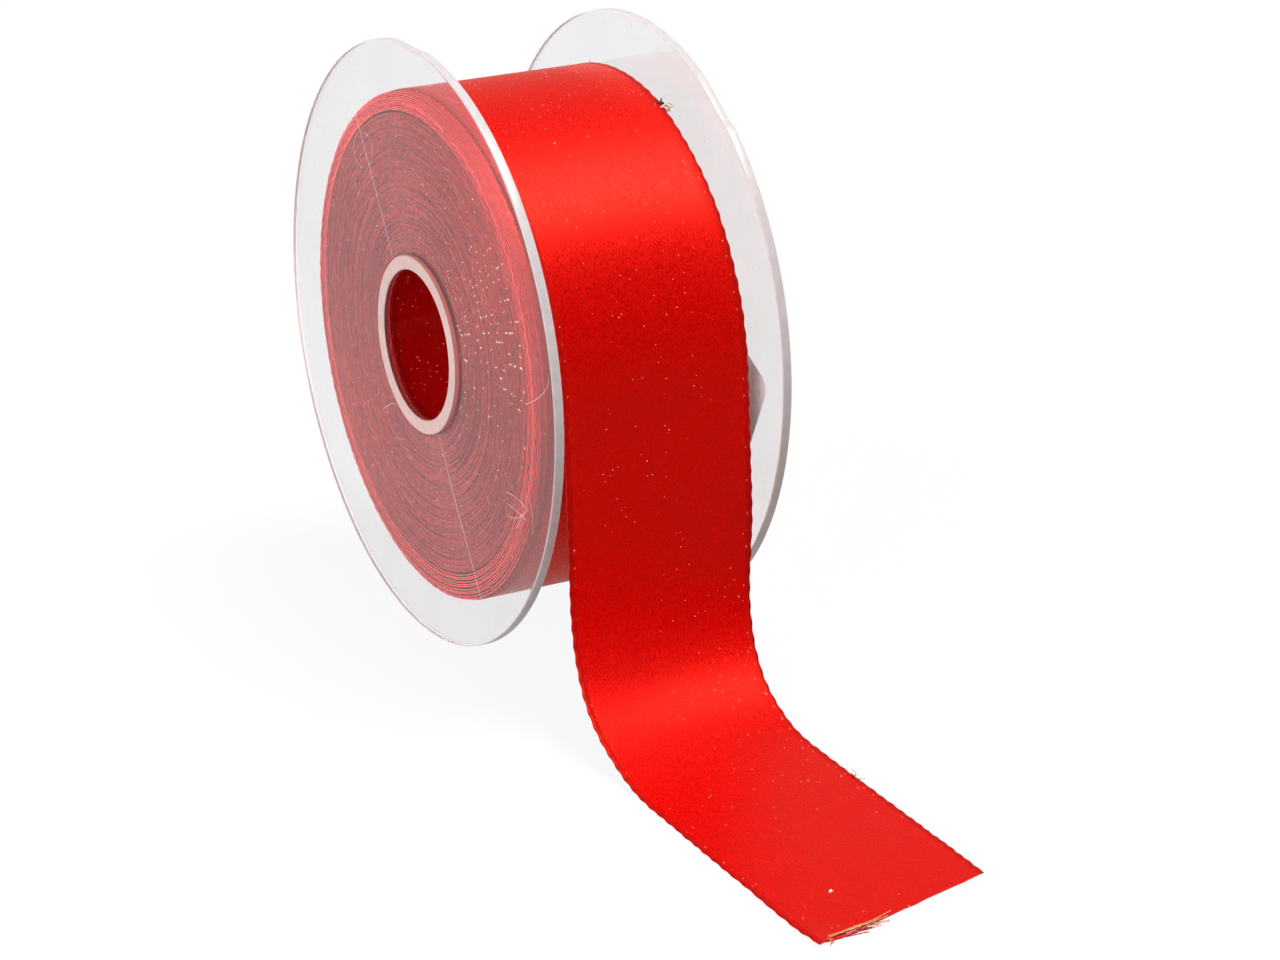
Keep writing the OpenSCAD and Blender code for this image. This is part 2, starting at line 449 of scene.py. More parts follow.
satin = makeSatin(satinSet)
satinSide = makeSatinSide("satinSide", sideSet)
# painted light: the brighter side colours of the loose turns and the free end
paintedLitSide = makeSatinSide("paintedLitSide", paintedLitSideSet)
clearDisc = makeClearPlastic("clearDisc", (0.85, 0.84, 0.845), 0.03, 0.10, plasticSet)
clearTube = makeClearPlastic("clearTube", (0.92, 0.90, 0.905), 0.05, 0.12, plasticSet)
seam = makeSeam("seam")
# painted reflection: the discs' hole walls are opaque mid red, standing in for the red ribbon seen through
# the clear plastic there
holeWallPaintedRed = makeFrosted("holeWallPaintedRed", (0.60, 0.14, 0.13), 0.0, 0.50)
# the tube ends are frosted where they were cut; their pink is painted, red light from the ribbon
frostedEnd = makeFrosted("frostedEnd", (0.86, 0.62, 0.58), 0.20, 0.35)
# painted light on the disc rims: the grey pink of the rim is red light gathered from the ribbon, and the
# paler bevels are a painted highlight
rimEdge = makeFrosted("rimEdge", (0.95, 0.86, 0.86), 0.50, 0.30)
bevelPaintedHighlight = makeFrosted("bevelPaintedHighlight", (0.90, 0.82, 0.82), 0.45, 0.30)
scratched = makeFrosted("scratched", (0.90, 0.86, 0.86), 0.05, 0.5)
tapeFilm = makePaper("tapeFilm", (0.80, 0.70, 0.48), (0.66, 0.55, 0.35), 0.5, 900.0)
# painted shade and painted red light: the white paper label is a grey pink, as its back is seen in shade
# through the far disc
labelPaperPaintedShade = makePaper("labelPaperPaintedShade", (0.70, 0.61, 0.60), (0.60, 0.51, 0.50), 0.75, 1300.0)
strawThread = makeThread("strawThread", (0.62, 0.36, 0.17), (0.36, 0.17, 0.06), 0.6)
darkThread = makeThread("darkThread", (0.10, 0.012, 0.006), (0.04, 0.012, 0.004), 0.6)
roseThread = makeThread("roseThread", (0.70, 0.28, 0.20), (0.48, 0.14, 0.09), 0.6)
redThread = makeThread("redThread", (0.55, 0.006, 0.008), (0.32, 0.003, 0.004), 0.5)
# painted glints: the pale gold of the grains on the roll
glintThread = makeThread("glintThread", (0.95, 0.74, 0.52), (0.85, 0.50, 0.28), 0.35)
whiteFleck = makeThread("whiteFleck", (0.92, 0.86, 0.85), (0.80, 0.62, 0.60), 0.6)
peachFleck = makeThread("peachFleck", (0.95, 0.56, 0.40), (0.85, 0.38, 0.24), 0.5)
print("materials made")


# Mesh helpers

def smoothStep(value):
    value = np.clip(value, 0.0, 1.0)
    return value * value * (3 - 2 * value)


def newMesh(name, verts, faces, materials, sharpAngle=40.0, faceMaterials=None):
    data = bpy.data.meshes.new(name)
    data.from_pydata(np.asarray(verts).tolist(), [], faces)
    data.polygons.foreach_set("use_smooth", [True] * len(data.polygons))
    for material in materials:
        data.materials.append(material)
    if faceMaterials is not None:
        data.polygons.foreach_set("material_index", faceMaterials)
    data.update()
    data.set_sharp_from_angle(angle=math.radians(sharpAngle))
    made = bpy.data.objects.new(name, data)
    scene.collection.objects.link(made)
    return made


# A closed strip of ribbon along a route in the XZ plane, which may differ from column to column.
# columns are places across the width; lower and upper are the two faces' heights there.
def makeStrip(name, edgeMaterial, route, outward, gone, middle, columns, lower, upper, edges, skew=None):
    count, wide = len(route), len(columns)
    lean = np.zeros((count, wide)) if skew is None else skew
    if route.ndim == 2:
        route, outward = route[:, None, :], outward[:, None, :]
    rings = np.zeros((count, 2 * wide, 3))
    for face, heights in ((0, lower), (1, upper)):
        high = np.broadcast_to(heights, (count, wide))
        x = route[..., 0] + outward[..., 0] * high + outward[..., 1] * lean
        z = route[..., 1] + outward[..., 1] * high - outward[..., 0] * lean
        y = middle[:, None] + columns[None, :] + edges
        side = np.stack([x, y, z], axis=2)
        if face == 0:
            rings[:, :wide] = side
        else:
            rings[:, wide:] = side[:, ::-1]
    per = 2 * wide
    start = (np.arange(count - 1) * per)[:, None]
    here = start + np.arange(per)[None, :]
    beside = start + (np.arange(per)[None, :] + 1) % per
    quads = np.stack([here, beside, beside + per, here + per], axis=2).reshape(-1, 4)
    faces = quads.tolist()
    kinds = np.zeros((count - 1, per), int)
    kinds[:, [wide - 1, per - 1]] = 1
    kinds = kinds.ravel().tolist() + [1] * (2 * (wide - 1))
    for first, turned in ((0, True), ((count - 1) * per, False)):
        for j in range(wide - 1):
            cap = [first + j, first + j + 1, first + per - 2 - j, first + per - 1 - j]
            faces.append(cap[::-1] if turned else cap)
    made = newMesh(name, rings.reshape(-1, 3), faces, [satin, edgeMaterial], faceMaterials=kinds)
    # UV in metres: along the ribbon, then across it
    along = gone[:, None] + lean
    across = np.broadcast_to(columns[None, :] + ribbonW / 2, (count, wide))
    uv = np.stack([along, across], axis=2)
    uv = np.concatenate([uv, uv[:, ::-1]], axis=1).reshape(-1, 2)
    layer = made.data.uv_layers.new(name="ribbon")
    corners = np.zeros(len(made.data.loops), np.int32)
    made.data.loops.foreach_get("vertex_index", corners)
    layer.data.foreach_set("uv", uv[corners].astype(np.float32).ravel())
    return made


def routeNormals(route):
    step = np.gradient(route, axis=0)
    step /= np.linalg.norm(step, axis=1)[:, None]
    return np.stack([-step[:, 1], step[:, 0]], axis=1)


def goneAlong(route):
    return np.concatenate([[0.0], np.cumsum(np.linalg.norm(np.diff(route, axis=0), axis=1))])


# Scallops of the woven edge, which reach a little way in from both selvedges
def scallops(gone, columns, depth, pitch, rng):
    wave = np.sin(2 * np.pi * gone / pitch) * depth
    knots = np.arange(0, gone[-1] + pitch, pitch * 0.6)
    own = np.interp(gone, knots, rng.normal(0, depth * 0.35, len(knots)))
    inset = ribbonW / 2 - np.abs(columns)
    reach = smoothStep(1 - inset / (1.6 * mm))
    return (wave + own)[:, None] * (np.sign(columns) * reach)[None, :]


ribbonSet = {
    "pitch": 0.28 * mm,
    "thick": 0.235 * mm,
    "scallop": 0.10 * mm,
    "scallopPitch": 3.4 * mm,
}

tightSet = {
    "perTurn": 128,
    "tapeGap": 0.03 * mm,
    "looseGap": 0.09 * mm,
    "swing": 0.03 * mm,
    "edgeWander": 0.16 * mm,
    "bandWander": 0.14 * mm,
    "bandTurns": 4.3,
    "edgeLimit": 0.42 * mm,
    "seed": 11,
}


def makeTightRoll(part):
    rng = np.random.default_rng(part["seed"])
    inner = tapeR + part["tapeGap"]
    outer = looseR - ribbonSet["thick"] - part["looseGap"]
    turns = int((outer - inner) / ribbonSet["pitch"])
    count = turns * part["perTurn"]
    turn = np.linspace(0, turns, count)
    radius = inner + (outer - inner) * turn / turns
    swing = part["swing"] * np.sin(turn * 2 * np.pi / part["bandTurns"])
    radius += swing * smoothStep(turn / 3) * smoothStep(turns - turn)
    angle = 2 * np.pi * (turns - turn)
    route = np.stack([radius * np.cos(angle), radius * np.sin(angle)], axis=1)
    gone = goneAlong(route)
    knots = np.arange(turns + 2)
    wander = np.interp(turn, knots, rng.normal(0, part["edgeWander"], len(knots)))
    band = part["bandWander"] * np.sin(2 * np.pi * turn / part["bandTurns"] + 1.5 * np.sin(turn * 0.31))
    middle = tightY + np.clip(wander + band, -part["edgeLimit"], part["edgeLimit"])
    columns = np.array([-ribbonW / 2, ribbonW / 2])
    edges = scallops(gone, columns, ribbonSet["scallop"] * 0.7, ribbonSet["scallopPitch"], rng)
    roll = makeStrip("wound_ribbon", satinSide, route, routeNormals(route), gone, middle, columns, 0.0,
                     ribbonSet["thick"], edges)
    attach(roll, "spool")
    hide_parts("ribbon_roll")
    return route, gone, middle


tightRoute, tightGone, tightMiddle = makeTightRoll(tightSet)
print("tight turns wound:", round(float(tightGone[-1]), 2), "m")

looseSet = {
    "turns": 12,
    "perTurn": 200,
    "outerR": 52.0 * mm,
    "oval": 1.2 * mm,
    "ovalAngle": 110.0,
    "lift": 1.30 * mm,
    "liftFrom": 110.0,
    "rise": 0.27 * mm,
    "kinks": ((55, 0.30), (108, 0.05), (128, 0.28), (152, 0.16)),  # angle in degrees, depth in mm
    "kinkSpread": 11,
    "wander": 0.12 * mm,
    "seed": 5,
}


# Radius of the ribbon's underside. Turn 0 is the innermost loose one; each runs from 360 to 0 degrees.
def looseRadius(turn, part):
    angle = 360 * (part["turns"] - turn)
    a = np.radians(angle)
    outline = part["outerR"] + part["oval"] * np.cos(a + math.radians(part["ovalAngle"]))
    for kink, depth in part["kinks"]:
        away = (angle - kink + 180) % 360 - 180
        outline = outline - depth * mm * np.exp(-((away / part["kinkSpread"]) ** 2))
    share = np.clip(turn / part["turns"] + 0.03 * np.sin(2.1 * turn), 0, 1)
    base = looseR + 0.02 * mm + part["rise"] * turn
    spare = outline - looseR - part["rise"] * part["turns"]
    return base + spare * share


# Middle of the ribbon's width, from the place of its near edge in mm: the last turns wander off
def looseMiddle(turn):
    left = np.interp(
        turn,
        [0, 7.5, 9.0, 9.85, 10.3, 10.85, 11.3, 11.7, 12],
        [-22.95, -22.95, -22.8, -22.5, -22.2, -21.5, -20.6, -19.5, -19.45],
    )
    return left * mm + ribbonW / 2


def makeLooseTurns(part):
    rng = np.random.default_rng(part["seed"])
    turns = part["turns"] - 1
    turn = np.linspace(0, turns, turns * part["perTurn"])
    radius = looseRadius(turn, part)
    a = np.radians(360 * (part["turns"] - turn))
    route = np.stack([radius * np.cos(a), radius * np.sin(a)], axis=1)
    gone = goneAlong(route)
    middle = looseMiddle(turn)
    middle = middle + np.interp(turn, np.arange(turns + 1), rng.normal(0, part["wander"], turns + 1))
    half = ribbonW / 2
    columns = np.array([-half, -half + 1.1 * mm, half - 1.1 * mm, half])
    edges = scallops(gone, columns, ribbonSet["scallop"], ribbonSet["scallopPitch"], rng)
    made = makeStrip("loose_turns", paintedLitSide, route, routeNormals(route), gone, middle, columns, 0.0,
                     ribbonSet["thick"], edges)
    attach(made, "ribbon_end")
    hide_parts("outer_turns")
    return gone


looseGone = makeLooseTurns(looseSet)
print("loose turns wound:", round(float(looseGone[-1]), 2), "m")

tailSet = {
    "rings": 960,
    "lean": 5.0,
    "bendNear": 42.0 * mm,
    "bendFar": 30.0 * mm,
    "swell": 1.013,
    "hangY": 0.33 * mm,
    "driftFrom": 22.5 * mm,
    "driftRun": 41.0 * mm,
    "tableY": tailLow.y + ribbonW / 2 - 0.1 * mm,
    "cutReach": tailHigh.x,
    "cutSlant": 9.9 * mm,
    "ease": 7.0 * mm,
    "cup": 0.30 * mm,
    "ripple": 0.10 * mm,
    "wave": 0.10 * mm,
    "cornerLift": 0.7 * mm,
    "ragged": 0.07 * mm,
    "seed": 8,
}


# The last turn's arc, then straight down with a slight lean, round the bend and along the table
def tailRoute(part, bendR):
    turns = looseSet["turns"]
    turn = np.linspace(turns - 1, turns, 900)
    a = np.radians(360 * (turns - turn))
    radius = looseRadius(turn, looseSet)
    lift = looseSet["lift"] * smoothStep(1 - np.degrees(a) / looseSet["liftFrom"])
    radius = radius + lift
    over = np.stack([radius * np.cos(a), radius * np.sin(a)], axis=1)
    lean = math.radians(part["lean"])
    bendTop = tableZ + bendR * (1 - math.sin(lean))
    topX = over[-1, 0] + (over[-1, 1] - bendTop) * math.tan(lean)
    centreX = topX + bendR * math.cos(lean)
    heading = np.linspace(lean - math.pi / 2, 0, 120)
    bend = np.stack([centreX + bendR * np.sin(heading), tableZ + bendR * (1 - np.cos(heading))], axis=1)
    end = np.array([[part["cutReach"] - part["cutSlant"] / 2, tableZ]])
    route = np.concatenate([over, bend, end])
    gone = goneAlong(route)
    places = np.linspace(0, gone[-1], part["rings"])
    route = np.stack([np.interp(places, gone, route[:, k]) for k in (0, 1)], axis=1)
    # ease the joins, so that the curvature changes gradually
    reach = int(part["ease"] / places[1])
    window = np.hanning(2 * reach + 1)
    window /= window.sum()
    eased = route.copy()
    for k in (0, 1):
        eased[reach:-reach, k] = np.convolve(route[:, k], window, mode="valid")
    # the join with the loose turns stays where it is
    keep = smoothStep(places / (30 * mm))[:, None]
    return route * (1 - keep) + eased * keep


def makeFreeEnd(part):
    rng = np.random.default_rng(part["seed"])
    nearRoute, farRoute = tailRoute(part, part["bendNear"]), tailRoute(part, part["bendFar"])
    route = (nearRoute + farRoute) / 2
    gone = goneAlong(route)
    total = gone[-1]
    # distance gone past the level of the bore's axis
    level = int(np.argmax((route[:, 0] > 50 * mm) & (route[:, 1] < 0) & (gone > 0.25)))
    past = gone - gone[level]
    turn = looseSet["turns"] - 1 + np.clip(1 + past / gone[level], 0, 1)
    middle = looseMiddle(turn)
    middle = middle + (part["hangY"] - middle) * smoothStep((past + 30 * mm) / (55 * mm))
    drift = smoothStep((past - part["driftFrom"]) / part["driftRun"])
    middle = middle + (part["tableY"] - part["hangY"]) * drift
    half = ribbonW / 2
    thick = ribbonSet["thick"]
    inner = np.linspace(-half + 2.2 * mm, half - 2.2 * mm, 13)
    rim = np.array([0, 0.25, 0.7, 1.1, 1.45]) * mm
    columns = np.concatenate([-half + rim, inner, half - rim[::-1]]) * part["swell"]
    rimUpper = np.array([0.55, 1.12, 1.15, 0.90, 0.98]) * thick
    upper = np.concatenate([rimUpper, np.full(len(inner), thick), rimUpper[::-1]])
    lower = np.zeros(len(columns))
    lower[[0, -1]] = 0.3 * thick
    # slow cross curve and small ripples of the hanging stretch, none where it lies on the table
    share = columns / half
    hang = smoothStep((past + 60 * mm) / (60 * mm)) * smoothStep((86 * mm - past) / (30 * mm))
    cup = part["cup"] * hang[:, None] * (share ** 2)[None, :]
    ripple = part["ripple"] * np.sin(gone[:, None] / (9 * mm) + 2.2 * share[None, :])
    ripple = ripple * smoothStep((past + 10 * mm) / (20 * mm))[:, None] * hang[:, None]
    lying = smoothStep((past - 96 * mm) / (20 * mm))
    wave = part["wave"] * (1 + np.sin(gone / (7 * mm))) * lying
    wave = wave[:, None] * (0.5 + 0.5 * np.sin(2.6 * share + 0.7))[None, :]
    # the near corner of the cut end turns up a little
    corner = smoothStep((gone - total + 9 * mm) / (9 * mm))[:, None]
    corner = corner * smoothStep((-share - 0.72) / 0.28)[None, :]
    raised = cup + ripple + wave + corner * part["cornerLift"]
    edges = scallops(gone, columns, ribbonSet["scallop"], ribbonSet["scallopPitch"], rng)
    slant = smoothStep((gone - total + 32 * mm) / (32 * mm))
    skew = -slant[:, None] * (share * part["cutSlant"] / 2)[None, :]
    skew[-1] += rng.normal(0, part["ragged"], len(columns))
    # the bend is a little tighter at the far edge than at the near one
    farShare = ((share / part["swell"] + 1) / 2)[None, :, None]
    nearOut, farOut = routeNormals(nearRoute)[:, None, :], routeNormals(farRoute)[:, None, :]
    routes = nearRoute[:, None, :] * (1 - farShare) + farRoute[:, None, :] * farShare
    normals = nearOut * (1 - farShare) + farOut * farShare
    made = makeStrip("free_end", paintedLitSide, routes, normals, gone + looseGone[-1], middle, columns,
                     lower + raised, upper + raised, edges, skew)
    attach(made, "ribbon_end")
    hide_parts("ribbon_tail")
    return made, route, gone, middle, past


freeEnd, tailPath, tailGone, tailMiddle, tailPast = makeFreeEnd(tailSet)
print("free end made:", round(float(tailGone[-1]), 3), "m")


# Discs and core tube

discSet = {
    "segments": 384,
    "cornerSteps": 4,
    "bevel": 0.30 * mm,
    "guard": 0.15 * mm,
    "labelGap": 0.02 * mm,
    "holePlay": 0.03 * mm,
    "gateDepth": 0.5 * mm,
    "tabRise": 0.35 * mm,
    "tabHalf": 1.0,
    "tabAngle": -6.0,
    "mostRise": 0.15 * mm,
    "rimDepth": 2.0 * mm,
}


# Rim radius at an angle: round, with a flat where the gate was trimmed and a small tab at one end of it
def rimRadius(angle, gate, part):
    away = (angle - math.radians(gate) + math.pi) % (2 * math.pi) - math.pi
    flat = (discR - part["gateDepth"]) / np.cos(np.clip(away, -0.5, 0.5))
    radius = np.minimum(discR, flat)
    tabPlace = math.radians(part["tabAngle"])
    tab = np.exp(-(((away - tabPlace) / math.radians(part["tabHalf"])) ** 4))
    return np.minimum(radius + tab * part["tabRise"], discR + part["mostRise"])


# A closed profile of (radius, y) turned round the bore; only a disc's rim follows rimAt
def lathe(name, profile, segments, materials, bandMaterials, rimAt=None, gate=0.0):
    angles = np.arange(segments) * 2 * math.pi / segments
    per = len(profile)
    verts = []
    for angle in angles:
        outer = None if rimAt is None else rimAt(angle, gate, discSet)
        for radius, y in profile:
            r = radius
            if outer is not None and radius > discR - discSet["rimDepth"]:
                r = min(radius, outer - (discR - radius))
            verts.append((r * math.cos(angle), y, r * math.sin(angle)))
    faces, bands = [], []
    for i in range(segments):
        a, b = i * per, (i + 1) % segments * per
        for j in range(per):
            k = (j + 1) % per
            faces.append((a + j, a + k, b + k, b + j))
            bands.append(bandMaterials[j])
    return newMesh(name, verts, faces, materials, 25.0, bands)


def roundCorner(r, y, startAngle, size, steps):
    # points of a quarter round whose centre is at (r, y)
    turn = [math.radians(startAngle + 90 * i / steps) for i in range(steps + 1)]
    return [(r + size * math.cos(t), y + size * math.sin(t)) for t in turn]


def makeDisc(name, node, low, high, gate, part):
    b, guard = part["bevel"], part["guard"]
    hole = tubeR + part["holePlay"]
    face = [hole, hole + 12 * mm, discR - 8 * mm, discR - b - guard]
    profile = [(r, low) for r in face]
    firstRim = len(profile)
    profile += roundCorner(discR - b, low + b, -90, b, part["cornerSteps"])
    profile += roundCorner(discR - b, high - b, 0, b, part["cornerSteps"])
    lastRim = len(profile) - 1
    profile += [(r, high) for r in face[::-1]]
    holeWall = len(profile) - 1
    middle = firstRim + part["cornerSteps"]
    bands = [2 if firstRim <= j < lastRim else 0 for j in range(len(profile))]
    bands[middle], bands[holeWall] = 1, 3
    # the bevels carry the painted highlight, the rim's middle its painted pink, and the hole wall the
    # painted red of the ribbon
    finishes = [clearDisc, rimEdge, bevelPaintedHighlight, holeWallPaintedRed]
    disc = lathe(name, profile, part["segments"], finishes, bands, rimRadius, gate)
    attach(disc, "spool")
    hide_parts(node)


makeDisc("near_disc", "near_flange", nearLow.y, nearHigh.y, 91.0, discSet)
makeDisc("far_disc", "far_flange", farLow.y, farHigh.y - discSet["labelGap"], 57.0, discSet)

tubeSet = {"bevel": 0.2 * mm, "segments": 192, "tapeGap": 0.02 * mm}


def makeTube(part):
    b = part["bevel"]
    low, high = nearLow.y, farHigh.y
    outR = tubeR - part["tapeGap"]
    profile = [(boreR, low + b), (boreR + b, low), (outR - b, low), (outR, low + b)]
    profile += [(outR, high - b), (outR - b, high), (boreR + b, high), (boreR, high - b)]
    # frosted ends, clear inside, and nothing to see under the ribbon
    bands = [1, 1, 1, 2, 1, 1, 1, 0]
    tube = lathe("core_sleeve", profile, part["segments"], [clearTube, frostedEnd, seam], bands)
    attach(tube, "spool")
    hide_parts("core_tube")


makeTube(tubeSet)
print("discs and core sleeve made")


# The CAD nodes that stay get their own finishes
def refinish(node, material):
    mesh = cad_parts[node].data
    mesh.materials.clear()
    mesh.materials.append(material)


# the label's grey pink is painted shade and red light from the ribbon
refinish("label", labelPaperPaintedShade)
refinish("start_tape", tapeFilm)


# Weld lines and scratches on the discs, as hair-thin strips just proud of the face

def faceStrip(points, width, y, outwardY, height):
    points = np.array(points, float)
    side = routeNormals(points)
    share = np.linspace(0, 1, len(points))
    taper = np.clip(np.minimum(share, 1 - share) * 8, 0.25, 1)[:, None]
    left = points + side * width / 2 * taper
    right = points - side * width / 2 * taper
    verts, faces = [], []
    for i in range(len(points)):
        for (x, z), lift in ((left[i], 0.0), (points[i], height), (right[i], 0.0)):
            verts.append((x, y + outwardY * lift, z))
    for i in range(len(points) - 1):
        for j in range(2):
            faces.append((3 * i + j, 3 * i + j + 1, 3 * i + j + 4, 3 * i + j + 3))
        faces.append((3 * i + 2, 3 * i, 3 * i + 3, 3 * i + 5))
    last = 3 * (len(points) - 1)
    faces += [(0, 2, 1), (last, last + 1, last + 2)]
    return verts, faces


def gather(parts):
    verts, faces = [], []
    for some, others in parts:
        base = len(verts)
        verts += some
        faces += [tuple(i + base for i in face) for face in others]
    return verts, faces


def onDisc(radius, angle):
    a = math.radians(angle)
    return radius * mm * math.cos(a), radius * mm * math.sin(a)


def curveThrough(points, steps=24):
    # one smooth curve through a few points, as [x, z]
    points = np.array(points, float)
    at = np.linspace(0, 1, len(points))
    fine = np.linspace(0, 1, steps)
    degree = min(3, len(points) - 1)
    return np.stack([np.polyval(np.polyfit(at, points[:, k], degree), fine) for k in (0, 1)], axis=1)


marksSet = {
    "weldAngle": 122.3,
    "weldWidth": 0.12 * mm,
    "scratchWidth": 0.07 * mm,
    "height": 0.02 * mm,
    "bow": 0.25,
    "scuffs": 60,
    "proud": 0.005 * mm,
    "seed": 3,
}

# a scratch is a few places on the disc, as (radius in mm, angle in degrees)
nearScratches = [
    [(45, 122), (42, 117), (39, 119), (38.5, 124)],
    [(45.5, 124), (44, 129), (41, 130), (38.5, 126)],
    [(25.5, -131), (21.5, -128), (18.4, -122)],
    [(49, 4), (53.5, 6), (58.5, 9), (60, 12)],
    [(43.5, -24), (48, -21), (53, -20)],
    [(45, -26), (49, -24), (54, -22)],
    [(46, -29), (50, -25), (52.5, -20)],
    [(50, -29), (51, -24), (50, -19)],
    [(56, -24), (55, -20), (52, -17)],
    [(21, -20), (22.5, -15)],
    [(21, -15), (22.5, -20)],
]
farScratches = [
    [(57, 64), (57.5, 59), (58.5, 54), (58.5, 50)],
    [(30, 190), (36, 193), (41, 199)],
    [(50, 250), (46, 256), (44, 263)],
    [(28, -60), (33, -52), (40, -47)],
]


def makeMarks(name, scratches, y, outwardY, part):
    rng = np.random.default_rng(part["seed"])
    parts = []
    for angle in (part["weldAngle"], part["weldAngle"] + 180):
        radii = np.linspace(tubeR / mm + 0.4, discR / mm - 0.3, 40)
        line = [onDisc(r, angle + part["bow"] * math.sin(r * 0.16)) for r in radii]
        parts.append(faceStrip(line, part["weldWidth"], y, outwardY, part["height"]))
    for places in scratches:
        line = curveThrough([onDisc(*place) for place in places])
        parts.append(faceStrip(line, part["scratchWidth"], y, outwardY, part["height"] * 0.6))
    # fine scuffs from handling
    for _ in range(part["scuffs"]):
        r, a = rng.uniform(22, 60), rng.uniform(0, 360)
        run, turn = rng.uniform(0.6, 3.5), rng.uniform(-9, 9)
        places = ((r, a), (r + run * 0.5, a + turn * 0.4), (r + run, a + turn))
        line = curveThrough([onDisc(*place) for place in places], 10)
        line = [(x, z) for x, z in line if math.hypot(x, z) < discR - 0.6 * mm]
        if len(line) > 3:
            parts.append(faceStrip(line, part["scratchWidth"] * 0.35, y, outwardY, part["height"] * 0.4))
    made = newMesh(name, *gather(parts), [scratched])
    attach(made, "spool")


makeMarks("near_disc_marks", nearScratches, nearLow.y - marksSet["proud"], -1, marksSet)
makeMarks("far_disc_marks", farScratches, farLow.y - marksSet["proud"], -1, marksSet)
print("weld lines and scratches made")


# Painted glints of the edge thread, as pale grains where it catches the light, and pale peach flecks on the
# free end's face, all as tiny faceted grains

def grain(centre, size, stretch, rng):
    x, y, z = centre
    turn = rng.uniform(0, math.pi)
    out = []
    for dx, dy, dz in ((1, 0, 0), (-1, 0, 0), (0, 1, 0), (0, -1, 0), (0, 0, 1), (0, 0, -1)):
        ax = dx * math.cos(turn) - dz * math.sin(turn)
        az = dx * math.sin(turn) + dz * math.cos(turn)
        out.append((x + ax * size * stretch, y + dy * size, z + az * size))
    faces = [(0, 2, 4), (2, 1, 4), (1, 3, 4), (3, 0, 4), (2, 0, 5), (1, 2, 5), (3, 1, 5), (0, 3, 5)]
    return out, faces


glintSet = {
    "sizeLow": 0.14 * mm,
    "sizeHigh": 0.30 * mm,
    "few": 0.04,
    "many": 0.42,
    "brightAngle": 16.0,
    "brightSpread": 38.0,
    "rowPitch": 2.9 * mm,
    "betweenRows": 0.12,
    "inBore": 700,
    "boreLow": 0.07 * mm,
    "boreHigh": 0.17 * mm,
    "seed": 21,
}


def makeRollGlints(part):
    rng = np.random.default_rng(part["seed"])
    parts = []
    pitch = ribbonSet["scallopPitch"]
    for gone in np.arange(0.2, tightGone[-1], pitch):
        i = int(np.searchsorted(tightGone, gone))
        x, z = tightRoute[i]
        angle = math.degrees(math.atan2(z, x))
        # painted glints: more of them, and bigger, where the light falls on the side of the roll
        bright = math.exp(-(((angle - part["brightAngle"]) / part["brightSpread"]) ** 2))
        onRow = math.cos(2 * math.pi * z / part["rowPitch"]) > 0.35
        inRow = 1.0 if onRow else part["betweenRows"]
        if rng.random() > part["few"] + part["many"] * bright * inRow:
            continue
        size = rng.uniform(part["sizeLow"], part["sizeHigh"]) * (0.55 + 0.45 * bright)
        y = tightMiddle[i] - ribbonW / 2 - 0.02 * mm
        out = 1 + ribbonSet["thick"] * 0.5 / math.hypot(x, z)
        parts.append(grain((x * out, y, z * out), size, 1.2, rng))
    # painted glints on the first turn's underside, seen through the core sleeve
    inner = tapeR + 0.01 * mm
    for _ in range(part["inBore"]):
        a, y = rng.uniform(0, 2 * math.pi), tightY + rng.uniform(-0.47, 0.47) * ribbonW
        size = rng.uniform(part["boreLow"], part["boreHigh"])
        parts.append(grain((inner * math.cos(a), y, inner * math.sin(a)), size, 1.0, rng))
    made = newMesh("roll_glints", *gather(parts), [glintThread], 20.0)
    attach(made, "spool")


makeRollGlints(glintSet)
fleckSet = {"count": 560, "sizeLow": 0.06 * mm, "sizeHigh": 0.13 * mm, "seed": 33}


# A place on the free end's upper face, from how far past the bore's level and across the ribbon it lies
def onFreeEnd(past, across, lift):
    i = int(np.clip(np.searchsorted(tailPast, past), 0, len(tailPath) - 1))
    normal = routeNormals(tailPath[max(i - 2, 0):i + 3])[1]
    x, z = tailPath[i] + normal * (ribbonSet["thick"] + lift)
    return x, tailMiddle[i] + across, z


def makeFaceFlecks(part):
    rng = np.random.default_rng(part["seed"])
    parts = []
    for _ in range(part["count"]):
        past = rng.uniform(-110, 150) * mm
        across = rng.uniform(-18.5, 18.5) * mm
        if past > 95 * mm and rng.random() < 0.6:
            continue
        size = rng.uniform(part["sizeLow"], part["sizeHigh"])
        parts.append(grain(onFreeEnd(past, across, 0.02 * mm), size, rng.uniform(1, 1.8), rng))
    made = newMesh("face_flecks", *gather(parts), [peachFleck], 20.0)
    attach(made, "ribbon_end")
    return made


faceFlecks = makeFaceFlecks(fleckSet)
print("glints and flecks made")


# Frayed threads, each a thin tube

def threadTube(points, radius, sides=5):
    points = np.array(points, float)
    step = np.gradient(points, axis=0)
    step /= np.maximum(np.linalg.norm(step, axis=1), 1e-12)[:, None]
    verts, faces = [], []
    for p, t in zip(points, step):
        first = np.cross(t, (0.31, 0.52, 0.79))
        first /= np.linalg.norm(first)
        second = np.cross(t, first)
        for k in range(sides):
            a = 2 * math.pi * k / sides
            verts.append(tuple(p + radius * (math.cos(a) * first + math.sin(a) * second)))
    for i in range(len(points) - 1):
        for k in range(sides):
            n = (k + 1) % sides
            faces.append((i * sides + k, i * sides + n, (i + 1) * sides + n, (i + 1) * sides + k))
    last = (len(points) - 1) * sides
    faces += [tuple(range(sides))[::-1], tuple(last + k for k in range(sides))]
    return verts, faces


def curlyThread(start, heading, length, curl, rng, steps=14):
    # wanders from its start, roughly along its heading
    heading = np.array(heading, float)
    heading /= np.linalg.norm(heading)
    points = [np.array(start, float)]
    for _ in range(steps):
        heading = heading + rng.normal(0, curl, 3)
        heading /= np.linalg.norm(heading)
        points.append(points[-1] + heading * length / steps)
    return np.array(points)


